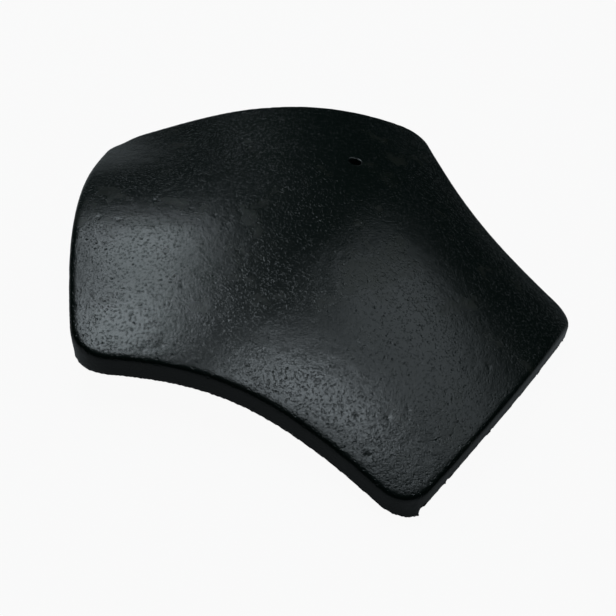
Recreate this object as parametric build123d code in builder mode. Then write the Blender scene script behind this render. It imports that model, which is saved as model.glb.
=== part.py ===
from build123d import *
import os
from math import atan2, cos, degrees, exp, hypot, log, radians, sin, sqrt, tan

# Three-way ridge tile: one moulded concrete shell that caps the corner of a
# roof where two level ridges meet and a hip runs down from them. It is set out
# with the hip arm falling along +X and the ridge arms level behind it.
# Lengths are in millimetres and angles in degrees.

# Plan: the hip arm's reach from the junction, and the run of the ridge arms
# from where their straight edges would cross to their rounded corners
arm_width = 245
hip_reach = 185
ridge_run = 26
ridges_apart = 90
hip_valley_radius = 300
ridge_valley_radius = 100
corner_radius = 26
end_radius = 900

# Section across an arm
arch_rise = 24
rim_height = 16
wall = 13
foot_width = 15

# Fall of the hip arm below the ridge arms, and how softly it turns down
hip_fall = 22
fall_softness = 10

# Rounding of the outer face where it turns down into the rim and the arm ends
rim_edge_radius = 4

# Nail hole, set out from the junction along the hip arm and to one side of it
nail_hole = 10
nail_along = -22
nail_aside = 84

# The arms are drawn this far past their ends before the ends are cut
overrun = 20

# Points along the edge of a valley, and spacing and closeness of the points
# that carry the curved faces
valley_points = 13
grid_pitch = 20
face_tolerance = 0.1

half_width = arm_width / 2
ridge_reach = half_width / tan(radians(ridges_apart / 2)) + ridge_run + corner_radius
ridge_bearing = 180 - ridges_apart / 2


class Arm:
    """One arm: the way it points in plan, its reach and its fall."""

    def __init__(self, bearing, reach, slope):
        self.bearing = bearing
        self.reach = reach
        self.steepness = tan(radians(slope))
        self.east = cos(radians(bearing))
        self.north = sin(radians(bearing))

    def along(self, x, y):
        return x * self.east + y * self.north

    def inset(self, x, y):
        """How far a point lies inside the arm's long edge."""
        return half_width - abs(y * self.east - x * self.north)

    def spot(self, along):
        """The plan point at a distance along the arm's middle line."""
        return Vector(along * self.east, along * self.north)


class Valley:
    """The round inner corner between two neighbouring arms, seen in plan."""

    def __init__(self, first, second, radius):
        self.pair = (first, second)
        self.apart = radians((second.bearing - first.bearing) % 360)
        self.softness = radius * (1 - sin(self.apart / 2)) / log(2)

    def covers(self, x, y):
        return radians((degrees(atan2(y, x)) - self.pair[0].bearing) % 360) <= self.apart

    def inset(self, x, y):
        """How far a point lies inside the tile's long edge, round the valley too."""
        return self.softness * log(sum(exp(arm.inset(x, y) / self.softness) for arm in self.pair))

    def run_out(self, arm, inside):
        """Where the valley's edge passes the end of an arm, in widths of its rounding."""
        off_arm = half_width - inside
        run = (arm.reach + overrun) * sin(self.apart) - off_arm * (1 + cos(self.apart))
        return run / self.softness

    def edge_points(self, inside):
        """Points on the line a set distance inside the tile's long edge, from arm to arm."""
        first, second = self.pair
        start, end = self.run_out(first, inside), -self.run_out(second, inside)
        points = []
        for i in range(valley_points):
            place = start + (end - start) * i / (valley_points - 1)
            off_first = half_width - inside + self.softness * log(1 + exp(-place))
            off_second = half_width - inside + self.softness * log(1 + exp(place))
            spot = first.spot(off_second) + second.spot(off_first)
            points.append(spot * (1 / sin(self.apart)))
        return points


hip_arm = Arm(0, hip_reach, hip_fall)
left_ridge = Arm(ridge_bearing, ridge_reach, 0)
right_ridge = Arm(-ridge_bearing, ridge_reach, 0)
arms = [hip_arm, left_ridge, right_ridge]
valleys = [
    Valley(hip_arm, left_ridge, hip_valley_radius),
    Valley(left_ridge, right_ridge, ridge_valley_radius),
    Valley(right_ridge, hip_arm, hip_valley_radius),
]


def sole_height(x, y):
    """The foot of the tile: level under the ridge arms, turning down along the hip arm."""
    drops = [exp(arm.steepness * arm.along(x, y) / fall_softness) for arm in arms]
    return -fall_softness * log(sum(drops))


def arch_height(x, y, depth):
    """An arched face above the sole, depth millimetres inside the outer face."""
    inset = next(valley.inset(x, y) for valley in valleys if valley.covers(x, y))
    off_crown = max(half_width - inset, 0)
    steepness = 2 * arch_rise * off_crown / half_width**2
    arch = arch_rise * (1 - (off_crown / half_width) ** 2)
    return sole_height(x, y) + rim_height + arch - depth * sqrt(1 + steepness**2)


def face_over_plan(height):
    """A smooth face through the heights of a formula, a little wider than the tile."""
    reach = hypot(max(ridge_reach, hip_reach), half_width) + 2 * overrun
    steps = round(2 * reach / grid_pitch)
    places = [reach * (2 * i / steps - 1) for i in range(steps + 1)]
    grid = [[(x, y, height(x, y)) for y in places] for x in places]
    return Face.make_surface_from_array_of_points(grid, tol=face_tolerance)


def three_arms(inside):
    """The three arms seen in plan, overrunning their ends, a set distance inside the long edges."""
    with BuildLine() as outline:
        edges = [Spline(valley.edge_points(inside)) for valley in valleys]
        for edge, following in zip(edges, edges[1:] + edges[:1]):
            Line(edge @ 1, following @ 0)
    make_face(outline.edges())


outer_face = face_over_plan(lambda x, y: arch_height(x, y, 0))
inner_face = face_over_plan(lambda x, y: arch_height(x, y, wall))
sole_face = face_over_plan(sole_height)
deepest = -(hip_reach + half_width)
clear_height = arch_rise + rim_height - deepest

with BuildPart() as hollow:
    # The arched hollow, which runs out through the ends of the arms
    with BuildSketch(Plane.XY.offset(deepest)):
        three_arms(foot_width)
    extrude(amount=clear_height)
    extrude(inner_face, amount=clear_height, dir=(0, 0, 1), mode=Mode.SUBTRACT)

with BuildPart() as moulded:
    # The plan of the tile: round valleys, gently bowed ends and round corners
    with BuildSketch(Plane.XY.offset(deepest)):
        three_arms(0)
        for arm in arms:
            with Locations(arm.spot(arm.reach - end_radius)):
                Circle(end_radius, mode=Mode.INTERSECT)
    extrude(amount=clear_height)
    fillet(edges().filter_by(Axis.Z), corner_radius)
    # The arched outer face above, the sole below
    extrude(outer_face, amount=clear_height, dir=(0, 0, 1), mode=Mode.SUBTRACT)
    extrude(sole_face, amount=clear_height, dir=(0, 0, -1), mode=Mode.SUBTRACT)
    sole, top = faces().sort_by(SortBy.AREA)[-2:].sort_by(Axis.Z)
    sole_points = [edge @ (k / 16) for edge in sole.edges() for k in range(17)]
    fillet(top.edges(), rim_edge_radius)
    add(hollow.part, mode=Mode.SUBTRACT)
    with Locations(Pos(nail_along, nail_aside)):
        Cylinder(nail_hole / 2, 2 * clear_height, mode=Mode.SUBTRACT)


def front_above_back(tilt):
    """How much higher the hip arm's sole stands than the ridge arms', with the hip arm tipped down."""
    heights = [(point.X, point.Z * cos(radians(tilt)) - point.X * sin(radians(tilt))) for point in sole_points]
    return min(z for x, z in heights if x > 0) - min(z for x, z in heights if x <= 0)


# Unheld on a level floor the tile tips back off the end of its hip arm until
# the ridge arms meet the floor too, so the angle where all three touch is
# found by halving
low_tilt, high_tilt = -hip_fall, 0
for _ in range(24):
    middle_tilt = (low_tilt + high_tilt) / 2
    if front_above_back(middle_tilt) > 0:
        low_tilt = middle_tilt
    else:
        high_tilt = middle_tilt
rest_tilt = low_tilt

with BuildPart() as ridge_tile:
    add(moulded.part, rotation=(0, rest_tilt, 0))
tipped = ridge_tile.part.bounding_box()
ridge_tile.part = ridge_tile.part.translate((-tipped.center().X, 0, -tipped.min.Z))
ridge_tile.part.label = "ridge_tile"
os.makedirs("parts", exist_ok=True)
export_step(ridge_tile.part, "parts/ridge_tile.step")
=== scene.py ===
import random
from math import atan, cos, pi, radians, sin, tan

import bmesh
import bpy
from mathutils import Matrix, Vector, kdtree, noise


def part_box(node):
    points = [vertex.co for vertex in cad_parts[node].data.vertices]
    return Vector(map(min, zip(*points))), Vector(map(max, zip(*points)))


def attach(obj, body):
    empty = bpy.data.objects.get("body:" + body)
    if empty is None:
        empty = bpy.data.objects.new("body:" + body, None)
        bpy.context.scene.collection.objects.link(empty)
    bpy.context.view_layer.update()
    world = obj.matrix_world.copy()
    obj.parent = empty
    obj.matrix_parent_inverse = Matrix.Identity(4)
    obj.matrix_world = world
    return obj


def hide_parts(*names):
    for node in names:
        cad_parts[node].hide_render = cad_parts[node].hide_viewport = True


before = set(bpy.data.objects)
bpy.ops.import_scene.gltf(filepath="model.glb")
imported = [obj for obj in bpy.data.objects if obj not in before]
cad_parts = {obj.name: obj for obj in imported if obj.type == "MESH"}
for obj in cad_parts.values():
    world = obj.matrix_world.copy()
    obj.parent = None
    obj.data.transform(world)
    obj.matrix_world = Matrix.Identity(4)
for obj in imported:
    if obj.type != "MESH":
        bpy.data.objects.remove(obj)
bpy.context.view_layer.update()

bl_info = {
    "name": "Three-way ridge tile",
    "version": (1, 1, 0),
    "blender": (4, 5, 0),
    "location": "3D View > Sidebar > Ridge Tile",
    "description": "Dresses a moulded concrete ridge tile and sets it in a plain studio",
    "category": "Object",
}

TILE_NODE = "ridge_tile"
TILE_LOW, TILE_HIGH = (Vector(corner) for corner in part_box(TILE_NODE))
TILE_MIDDLE = (TILE_LOW + TILE_HIGH) / 2
MM = 0.001
IMAGE_PIXELS = 616

# How closely the skin's mesh is made: corners nearer than this become one, and
# the tile fills this share of the box that is halved down to one face
MERGE_DISTANCE = 0.01 * MM
MESH_FILL = 0.87

# The air pits: the start of their random draw, and the smallest as a share of the largest
RANDOM_SEED = 7
SMALLEST_PIT = 0.8

# The sand pattern: widths in grains of its dips, coarse sand and spots of painted glint,
# and the spacing of its small pits; then how finely each noise is divided
DIP_WIDTH, COARSE_WIDTH, PIT_SPACING, PAINTED_GLINT_WIDTH = 1.5, 4, 5, 0.8
DIP_DETAIL, FINE_DETAIL, COARSE_DETAIL, PAINTED_GLINT_DETAIL = 1, 2, 2, 1

# Where each part fades in: values of its noise, or for a small pit the distance from its middle
DIP_RANGE, PIT_RANGE = (0.28, 0.46), (0.04, 0.16)
PAINTED_GLINT_RANGE, WEAR_AND_SHEEN_RANGE = (0.56, 0.74), (0.55, 0.72)

# Heights of the parts, where a small pit is 1 deep
DIP_HEIGHT, FINE_HEIGHT, COARSE_HEIGHT = 0.42, 0.28, 0.3

# Wear and painted sheen: the random clouds of wear, what the lighter painted sheen patch adds to them, and
# how far the skin is tinted olive where there is wear or painted sheen, between the painted glint spots
CLOUD_WIDTH, CLOUD_DETAIL, CLOUD_ROUGHNESS = 38 * MM, 4, 0.6
PAINTED_SHEEN_SHARE = 0.24
WEAR_AND_SHEEN_TINT = 0.35

# The floor reaches this many metres each way, past the edges of the camera's picture
FLOOR_HALF_WIDTH = 4
FLOOR_ROUGHNESS = 0.9
WHITE = (1, 1, 1, 1)


def length(name, description, default):
    """A length setting, stored in metres and shown in the scene's unit."""
    return bpy.props.FloatProperty(
        name=name, description=description, default=default, unit="LENGTH", precision=5
    )


def angle(name, description, degrees):
    """An angle setting, written here in degrees."""
    return bpy.props.FloatProperty(
        name=name, description=description, default=radians(degrees), subtype="ANGLE"
    )


def share(name, description, default):
    """A setting between 0 and 1."""
    return bpy.props.FloatProperty(
        name=name, description=description, default=default, min=0, max=1, subtype="FACTOR"
    )


def colour(name, description, default):
    """A linear colour setting."""
    return bpy.props.FloatVectorProperty(
        name=name, description=description, default=default, size=3, min=0, max=1, subtype="COLOR"
    )


def strength(name, description, default):
    """The brightness of a soft box's face, from which its lamp's power follows."""
    return bpy.props.FloatProperty(name=name, description=description, default=default, min=0)


def direction(name, description, turn, rise):
    """A direction seen from the tile: turn from +X and height angle, written here in degrees."""
    return bpy.props.FloatVectorProperty(
        name=name, description=description, default=(radians(turn), radians(rise)), size=2, unit="ROTATION"
    )


class TileSettings(bpy.types.PropertyGroup):
    """Sizes, roughness and colours of the moulded concrete skin."""

    mesh_depth: bpy.props.IntProperty(
        name="Mesh depth", description="Halvings of the tile's box down to one face of the skin", default=8
    )
    smoothing: bpy.props.IntProperty(
        name="Smoothing", description="Rounds of smoothing after the skin is meshed anew", default=4
    )
    swell: length("Swell", "Depth of the slow unevenness left by the mould", 0.45 * MM)
    swell_width: length("Swell width", "Width of one slow wave of the unevenness", 45 * MM)
    sand_relief: length("Sand relief", "Depth of the coarse sand that shows through the coat", 0.10 * MM)
    sand_width: length("Sand width", "Width of one coarse sand hollow", 5 * MM)
    pit_count: bpy.props.IntProperty(name="Pits", description="Number of air pits in the skin", default=160)
    pit_depth: length("Pit depth", "Depth of the largest air pit", 0.45 * MM)
    pit_width: length("Pit width", "Width of the largest air pit", 4 * MM)
    skin_colour: colour("Skin colour", "Body colour of the black coat", (0.0020, 0.0055, 0.0042))
    # Olive grey, lighter than the coat: the tint of random wear, and also of the painted sheen patch and
    # the painted glint spots
    wear_and_sheen_colour: colour("Worn colour", "Olive grey where sand shows through", (0.015, 0.018, 0.011))
    # Place and reach of a lighter patch of painted sheen on the crown of the hip arm, where light falls on
    # it
    painted_sheen_place: bpy.props.FloatVectorProperty(
        name="Worn place", description="Middle of the most worn patch, on the crown of the hip arm", size=3,
        default=(76 * MM, 0, 64 * MM), subtype="TRANSLATION", unit="LENGTH",
    )
    painted_sheen_reach: length("Worn reach", "How far wear goes from its middle", 60 * MM)
    grain_size: length("Grain size", "Width of one sand grain under the coat", 1.25 * MM)
    grain_depth: length("Grain depth", "Depth between the sand grains", 0.26 * MM)
    roughness: share("Roughness", "Roughness of the coated skin", 0.26)
    wear_and_sheen_roughness: share("Worn roughness", "Roughness where sand shows through", 0.34)


class StudioSettings(bpy.types.PropertyGroup):
    """Camera, lamps and floor."""

    camera_turn: angle("Camera turn", "Direction of the camera seen from the tile, from +X", -60.51)
    camera_rise: angle("Camera rise", "Height angle of the camera", 43.69)
    camera_roll: angle("Camera roll", "Turn of the camera about its own axis", 13.98)
    camera_distance: length("Camera distance", "Camera to the middle of the tile", 617.1 * MM)
    camera_aside: length("Camera aside", "Shift of the camera to its right", 2.35 * MM)
    camera_lift: length("Camera lift", "Shift of the camera along its own upward direction", -41.8 * MM)
    view_width: length("View width", "Width of the picture at the middle of the tile", 481.25 * MM)
    shift_aside: bpy.props.FloatProperty(
        name="Shift aside", description="Sideways lens shift in pixels of the picture", default=6.0
    )
    shift_up: bpy.props.FloatProperty(
        name="Shift up", description="Upward lens shift in pixels of the picture", default=-12.1
    )
    lamp_distance: length("Lamp distance", "Soft boxes to the middle of the tile", 1.7)
    low_box_from: direction("Low box from", "Lower end of the soft box behind the tile", 149, 32)
    low_box_to: direction("Low box to", "Upper end of the soft box behind the tile", 165.7, 60.9)
    low_box_spread: angle("Low box spread", "Width of the soft box behind the tile", 11)
    low_box_strength: strength("Low box strength", "Brightness of the soft box behind the tile", 4.5)
    high_box_from: direction("High box from", "Lower end of the main soft box", 169.3, 61.4)
    high_box_to: direction("High box to", "Upper end of the main soft box", 226.7, 76.3)
    high_box_spread: angle("High box spread", "Width of the main soft box", 10.8)
    high_box_strength: strength("High box strength", "Brightness of the main soft box", 7.8)
    hip_box_from: direction("Hip box from", "First end of the soft box over the hip arm", -22, 74.5)
    hip_box_to: direction("Hip box to", "Second end of the soft box over the hip arm", 32, 77)
    hip_box_spread: angle("Hip box spread", "Width of the soft box over the hip arm", 6.5)
    hip_box_strength: strength("Hip box strength", "Brightness of the soft box over the hip arm", 12.0)
    side_box_from: direction("Side box from", "First end of the faint soft box at the side", 31.2, 65.8)
    side_box_to: direction("Side box to", "Second end of the faint soft box at the side", 92.6, 41.6)
    side_box_spread: angle("Side box spread", "Width of the faint soft box", 20.3)
    side_box_strength: strength("Side box strength", "Brightness of the faint soft box", 1.2)
    lamp_colour: colour("Lamp colour", "Cool white of the soft boxes", (0.84, 0.94, 1.0))
    room_colour: colour("Room colour", "Dim light of the room from all sides", (0.004, 0.005, 0.0055))
    floor_colour: colour("Floor colour", "Colour of the floor", (0.4, 0.4, 0.4))
    floor_shadow: share("Floor shadow", "How much of the floor's own light and shade the camera sees", 0.06)


def new_material(name):
    """An empty node material with its output and a Principled shader."""
    material = bpy.data.materials.new(name)
    material.use_nodes = True
    tree = material.node_tree
    tree.nodes.clear()
    output = tree.nodes.new("ShaderNodeOutputMaterial")
    shader = tree.nodes.new("ShaderNodeBsdfPrincipled")
    tree.links.new(shader.outputs["BSDF"], output.inputs["Surface"])
    return material, tree, shader, output


def noise_node(tree, vector, size, detail, roughness=0.5):
    """A noise texture whose features are about one size wide."""
    node = tree.nodes.new("ShaderNodeTexNoise")
    node.inputs["Scale"].default_value = 1 / size
    node.inputs["Detail"].default_value = detail
    node.inputs["Roughness"].default_value = roughness
    tree.links.new(vector, node.inputs["Vector"])
    return node.outputs["Fac"]


def map_range(tree, value, low, high, first=0.0, last=1.0):
    """Spreads the part of a value between low and high over first to last, smoothly."""
    node = tree.nodes.new("ShaderNodeMapRange")
    node.interpolation_type = "SMOOTHSTEP"
    node.inputs["From Min"].default_value = low
    node.inputs["From Max"].default_value = high
    node.inputs["To Min"].default_value = first
    node.inputs["To Max"].default_value = last
    tree.links.new(value, node.inputs["Value"])
    return node.outputs["Result"]


def math_node(tree, operation, first, second):
    """A sum, product or the like of a value with another value or number."""
    node = tree.nodes.new("ShaderNodeMath")
    node.operation = operation
    tree.links.new(first, node.inputs[0])
    if isinstance(second, (int, float)):
        node.inputs[1].default_value = second
    else:
        tree.links.new(second, node.inputs[1])
    return node.outputs[0]


def sand_group(settings):
    """Shared pattern of coated sand: height of the grains, wear with a lighter painted sheen patch, and
    painted glint spots.
    """
    tree = bpy.data.node_groups.new("coated_sand", "ShaderNodeTree")
    tree.interface.new_socket("Place", in_out="INPUT", socket_type="NodeSocketVector")
    for name in ("Height", "Worn", "Rubbed"):
        tree.interface.new_socket(name, in_out="OUTPUT", socket_type="NodeSocketFloat")
    grain_size = settings.grain_size
    given = tree.nodes.new("NodeGroupInput").outputs["Place"]
    result = tree.nodes.new("NodeGroupOutput")
    fine = noise_node(tree, given, grain_size, FINE_DETAIL)
    low_places = noise_node(tree, given, DIP_WIDTH * grain_size, DIP_DETAIL)
    dips = map_range(tree, low_places, *DIP_RANGE, 0.0, DIP_HEIGHT)
    coarse = noise_node(tree, given, COARSE_WIDTH * grain_size, COARSE_DETAIL)
    pits = tree.nodes.new("ShaderNodeTexVoronoi")
    pits.inputs["Scale"].default_value = 1 / (PIT_SPACING * grain_size)
    tree.links.new(given, pits.inputs["Vector"])
    height = math_node(tree, "ADD", dips, map_range(tree, pits.outputs["Distance"], *PIT_RANGE))
    height = math_node(tree, "ADD", height, math_node(tree, "MULTIPLY", fine, FINE_HEIGHT))
    height = math_node(tree, "ADD", height, math_node(tree, "MULTIPLY", coarse, COARSE_HEIGHT))
    cloudy = noise_node(tree, given, CLOUD_WIDTH, CLOUD_DETAIL, CLOUD_ROUGHNESS)
    away = tree.nodes.new("ShaderNodeVectorMath")
    away.operation = "DISTANCE"
    away.inputs[1].default_value = settings.painted_sheen_place
    tree.links.new(given, away.inputs[0])
    # A lighter patch of painted sheen around the set place, added to the random clouds of wear
    painted_sheen_patch = map_range(tree, away.outputs["Value"], 0, settings.painted_sheen_reach, PAINTED_SHEEN_SHARE, 0.0)
    wear_and_sheen = map_range(tree, math_node(tree, "ADD", cloudy, painted_sheen_patch), *WEAR_AND_SHEEN_RANGE)
    # Small lighter spots of painted glint
    painted_glint_spots = map_range(tree, noise_node(tree, given, PAINTED_GLINT_WIDTH * grain_size, PAINTED_GLINT_DETAIL), *PAINTED_GLINT_RANGE)
    tree.links.new(height, result.inputs["Height"])
    tree.links.new(wear_and_sheen, result.inputs["Worn"])
    tree.links.new(painted_glint_spots, result.inputs["Rubbed"])
    return tree


def black_concrete(settings):
    """Coated black concrete: sand grain under a satin skin, tinted olive grey by wear, by a painted sheen
    patch and by painted glint spots.
    """
    material, tree, shader, _ = new_material("black_concrete")
    place = tree.nodes.new("ShaderNodeTexCoord")
    sand = tree.nodes.new("ShaderNodeGroup")
    sand.node_tree = sand_group(settings)
    tree.links.new(place.outputs["Object"], sand.inputs["Place"])
    # Lighter olive tint from the painted glint spots and the painted sheen, as well as from random wear
    painted_glints_in_wear = math_node(tree, "MULTIPLY", sand.outputs["Worn"], sand.outputs["Rubbed"])
    between = math_node(tree, "MULTIPLY", sand.outputs["Worn"], WEAR_AND_SHEEN_TINT)
    tint = tree.nodes.new("ShaderNodeMix")
    tint.data_type = "RGBA"
    tint.inputs["A"].default_value = (*settings.skin_colour, 1)
    tint.inputs["B"].default_value = (*settings.wear_and_sheen_colour, 1)
    tree.links.new(math_node(tree, "ADD", painted_glints_in_wear, between), tint.inputs["Factor"])
    tree.links.new(tint.outputs["Result"], shader.inputs["Base Color"])
    tree.links.new(
        map_range(tree, sand.outputs["Worn"], 0, 1, settings.roughness, settings.wear_and_sheen_roughness),
        shader.inputs["Roughness"],
    )
    bump = tree.nodes.new("ShaderNodeBump")
    bump.inputs["Distance"].default_value = settings.grain_depth
    tree.links.new(sand.outputs["Height"], bump.inputs["Height"])
    tree.links.new(bump.outputs["Normal"], shader.inputs["Normal"])
    return material


class TILE_OT_skin(bpy.types.Operator):
    """Models the moulded tile's skin over the CAD node"""

    bl_idname = "ridge_tile.skin"
    bl_label = "Moulded skin"

    def execute(self, context):
        settings = context.scene.tile_settings
        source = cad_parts.get(TILE_NODE)
        if source is None:
            raise RuntimeError("the tile's CAD node is missing")
        mesh = source.data.copy()
        form = bmesh.new()
        form.from_mesh(mesh)
        bmesh.ops.remove_doubles(form, verts=form.verts, dist=MERGE_DISTANCE)
        form.to_mesh(mesh)
        form.free()
        tile = bpy.data.objects.new("tile_skin", mesh)
        context.collection.objects.link(tile)
        remesh = tile.modifiers.new("even mesh", "REMESH")
        remesh.mode = "SHARP"
        remesh.octree_depth = settings.mesh_depth
        remesh.scale = MESH_FILL
        remesh.use_remove_disconnected = False
        onto_form = tile.modifiers.new("onto the form", "SHRINKWRAP")
        onto_form.target = source
        onto_form.wrap_method = "NEAREST_SURFACEPOINT"
        soften = tile.modifiers.new("soften", "SMOOTH")
        soften.iterations = settings.smoothing
        apply_modifiers(tile)
        weather(tile.data, settings)
        for polygon in tile.data.polygons:
            polygon.use_smooth = True
        tile.data.materials.clear()
        tile.data.materials.append(black_concrete(settings))
        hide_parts(TILE_NODE)
        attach(tile, "root")
        return {"FINISHED"}


def apply_modifiers(thing):
    """Makes the shown shape of an object its own mesh."""
    graph = bpy.context.evaluated_depsgraph_get()
    mesh = bpy.data.meshes.new_from_object(thing.evaluated_get(graph))
    thing.modifiers.clear()
    thing.data = mesh


def sunk_by(place, width, depth):
    """How far an unevenness of some width sinks a place, from nothing down to its depth."""
    return depth * (0.5 + 0.5 * noise.noise(place / width))


def weather(mesh, settings):
    """Sinks the mould's slow unevenness, coarse sand hollows and air pits into the skin."""
    form = bmesh.new()
    form.from_mesh(mesh)
    form.normal_update()
    draw = random.Random(RANDOM_SEED)
    verts = list(form.verts)
    sunk = []
    tree = kdtree.KDTree(len(verts))
    for index, vert in enumerate(verts):
        slow = sunk_by(vert.co, settings.swell_width, settings.swell)
        sunk.append(slow + sunk_by(vert.co, settings.sand_width, settings.sand_relief))
        tree.insert(vert.co, index)
    tree.balance()
    for _ in range(settings.pit_count):
        centre = verts[draw.randrange(len(verts))].co
        size = draw.uniform(SMALLEST_PIT, 1)
        radius = settings.pit_width * size / 2
        for _, index, away in tree.find_range(centre, radius):
            sunk[index] += settings.pit_depth * size * (1 - (away / radius) ** 2)
    for vert, depth in zip(verts, sunk):
        vert.co -= vert.normal * depth
    form.to_mesh(mesh)
    form.free()


def pointing(turn_and_rise):
    """The direction of a turn from +X and a height angle."""
    turn, rise = turn_and_rise
    return Vector((cos(rise) * cos(turn), cos(rise) * sin(turn), sin(rise)))


def add_turned(context, name, data, place, axes):
    """Puts an object at a place, with its own three axes along given directions."""
    thing = bpy.data.objects.new(name, data)
    context.collection.objects.link(thing)
    thing.matrix_world = Matrix.Translation(place) @ Matrix(axes).transposed().to_4x4()
    return thing


def soft_box(context, name, ends, spread, bright, settings):
    """A long soft box between two directions seen from the tile, shining at it."""
    first, last = (pointing(end) for end in ends)
    distance = settings.lamp_distance
    middle = (first + last).normalized()
    along = (last - first).normalized()
    box = bpy.data.lights.new(name, "AREA")
    box.shape = "RECTANGLE"
    box.size = 2 * distance * tan(first.angle(last) / 2)
    box.size_y = 2 * distance * tan(spread / 2)
    box.energy = bright * pi * box.size * box.size_y
    box.color = settings.lamp_colour
    place = TILE_MIDDLE + middle * distance
    add_turned(context, name, box, place, (along, middle.cross(along), middle))


class TILE_OT_studio(bpy.types.Operator):
    """Sets up the camera, soft boxes and floor"""

    bl_idname = "ridge_tile.studio"
    bl_label = "Studio"

    def execute(self, context):
        settings = context.scene.studio_settings
        scene = context.scene
        scene.camera = studio_camera(context, settings)
        studio_floor(context, settings)
        scene.world = studio_world(settings)
        for place in ("low", "high", "hip", "side"):
            first, last, spread, bright = (
                getattr(settings, f"{place}_box_{part}") for part in ("from", "to", "spread", "strength")
            )
            soft_box(context, f"{place}_soft_box", (first, last), spread, bright, settings)
        scene.view_settings.view_transform = "Standard"
        return {"FINISHED"}


def studio_camera(context, settings):
    """The camera of the photograph: close, from above, rolled and a little off the tile's middle."""
    towards = pointing((settings.camera_turn, settings.camera_rise))
    level = Vector((-sin(settings.camera_turn), cos(settings.camera_turn), 0))
    roll = Matrix.Rotation(settings.camera_roll, 3, towards)
    aside, upward = roll @ level, roll @ towards.cross(level)
    lens = bpy.data.cameras.new("camera")
    lens.sensor_fit = "HORIZONTAL"
    lens.angle = 2 * atan(settings.view_width / 2 / settings.camera_distance)
    lens.shift_x = settings.shift_aside / IMAGE_PIXELS
    lens.shift_y = settings.shift_up / IMAGE_PIXELS
    place = TILE_MIDDLE + towards * settings.camera_distance
    place += aside * settings.camera_aside + upward * settings.camera_lift
    return add_turned(context, "camera", lens, place, (aside, upward, towards))


def studio_floor(context, settings):
    """A wide level floor under the tile."""
    floor = bpy.data.objects.new("floor", bpy.data.meshes.new("floor"))
    form = bmesh.new()
    bmesh.ops.create_grid(form, x_segments=1, y_segments=1, size=FLOOR_HALF_WIDTH)
    form.to_mesh(floor.data)
    form.free()
    context.collection.objects.link(floor)
    floor.data.materials.append(floor_material(settings))
    return floor


def show_camera(tree, lit, seen, share_seen, output):
    """Gives the output one shader, and to the camera a share of another in its place."""
    mix = tree.nodes.new("ShaderNodeMixShader")
    path = tree.nodes.new("ShaderNodeLightPath")
    amount = math_node(tree, "MULTIPLY", path.outputs["Is Camera Ray"], share_seen)
    tree.links.new(amount, mix.inputs["Fac"])
    tree.links.new(lit, mix.inputs[1])
    tree.links.new(seen, mix.inputs[2])
    tree.links.new(mix.outputs["Shader"], output.inputs["Surface"])


def floor_material(settings):
    """A pale floor that the camera sees nearly white, with the tile's faint shadow on it."""
    material, tree, shader, output = new_material("floor")
    shader.inputs["Base Color"].default_value = (*settings.floor_colour, 1)
    shader.inputs["Roughness"].default_value = FLOOR_ROUGHNESS
    white = tree.nodes.new("ShaderNodeEmission")
    white.inputs["Color"].default_value = WHITE
    show_camera(tree, shader.outputs["BSDF"], white.outputs["Emission"], 1 - settings.floor_shadow, output)
    return material


def studio_world(settings):
    """White behind everything for the camera, the dim room for the light itself."""
    world = bpy.data.worlds.new("studio")
    world.use_nodes = True
    tree = world.node_tree
    tree.nodes.clear()
    output = tree.nodes.new("ShaderNodeOutputWorld")
    white = tree.nodes.new("ShaderNodeBackground")
    room = tree.nodes.new("ShaderNodeBackground")
    white.inputs["Color"].default_value = WHITE
    room.inputs["Color"].default_value = (*settings.room_colour, 1)
    show_camera(tree, room.outputs["Background"], white.outputs["Background"], 1, output)
    return world


class TILE_PT_panel(bpy.types.Panel):
    """Settings and buttons for the ridge tile"""

    bl_idname = "TILE_PT_panel"
    bl_label = "Ridge Tile"
    bl_space_type = "VIEW_3D"
    bl_region_type = "UI"
    bl_category = "Ridge Tile"

    def draw(self, context):
        scene = context.scene
        for title, settings in (("Tile", scene.tile_settings), ("Studio", scene.studio_settings)):
            box = self.layout.box()
            box.label(text=title)
            for name in settings.bl_rna.properties.keys():
                if name not in ("rna_type", "name"):
                    box.prop(settings, name)
        self.layout.operator(TILE_OT_skin.bl_idname)
        self.layout.operator(TILE_OT_studio.bl_idname)


CLASSES = (TileSettings, StudioSettings, TILE_OT_skin, TILE_OT_studio, TILE_PT_panel)


def register():
    for cls in CLASSES:
        bpy.utils.register_class(cls)
    bpy.types.Scene.tile_settings = bpy.props.PointerProperty(type=TileSettings)
    bpy.types.Scene.studio_settings = bpy.props.PointerProperty(type=StudioSettings)


def unregister():
    del bpy.types.Scene.studio_settings
    del bpy.types.Scene.tile_settings
    for cls in reversed(CLASSES):
        bpy.utils.unregister_class(cls)


def main():
    register()
    bpy.ops.ridge_tile.skin()
    bpy.ops.ridge_tile.studio()


if __name__ == "__main__":
    main()
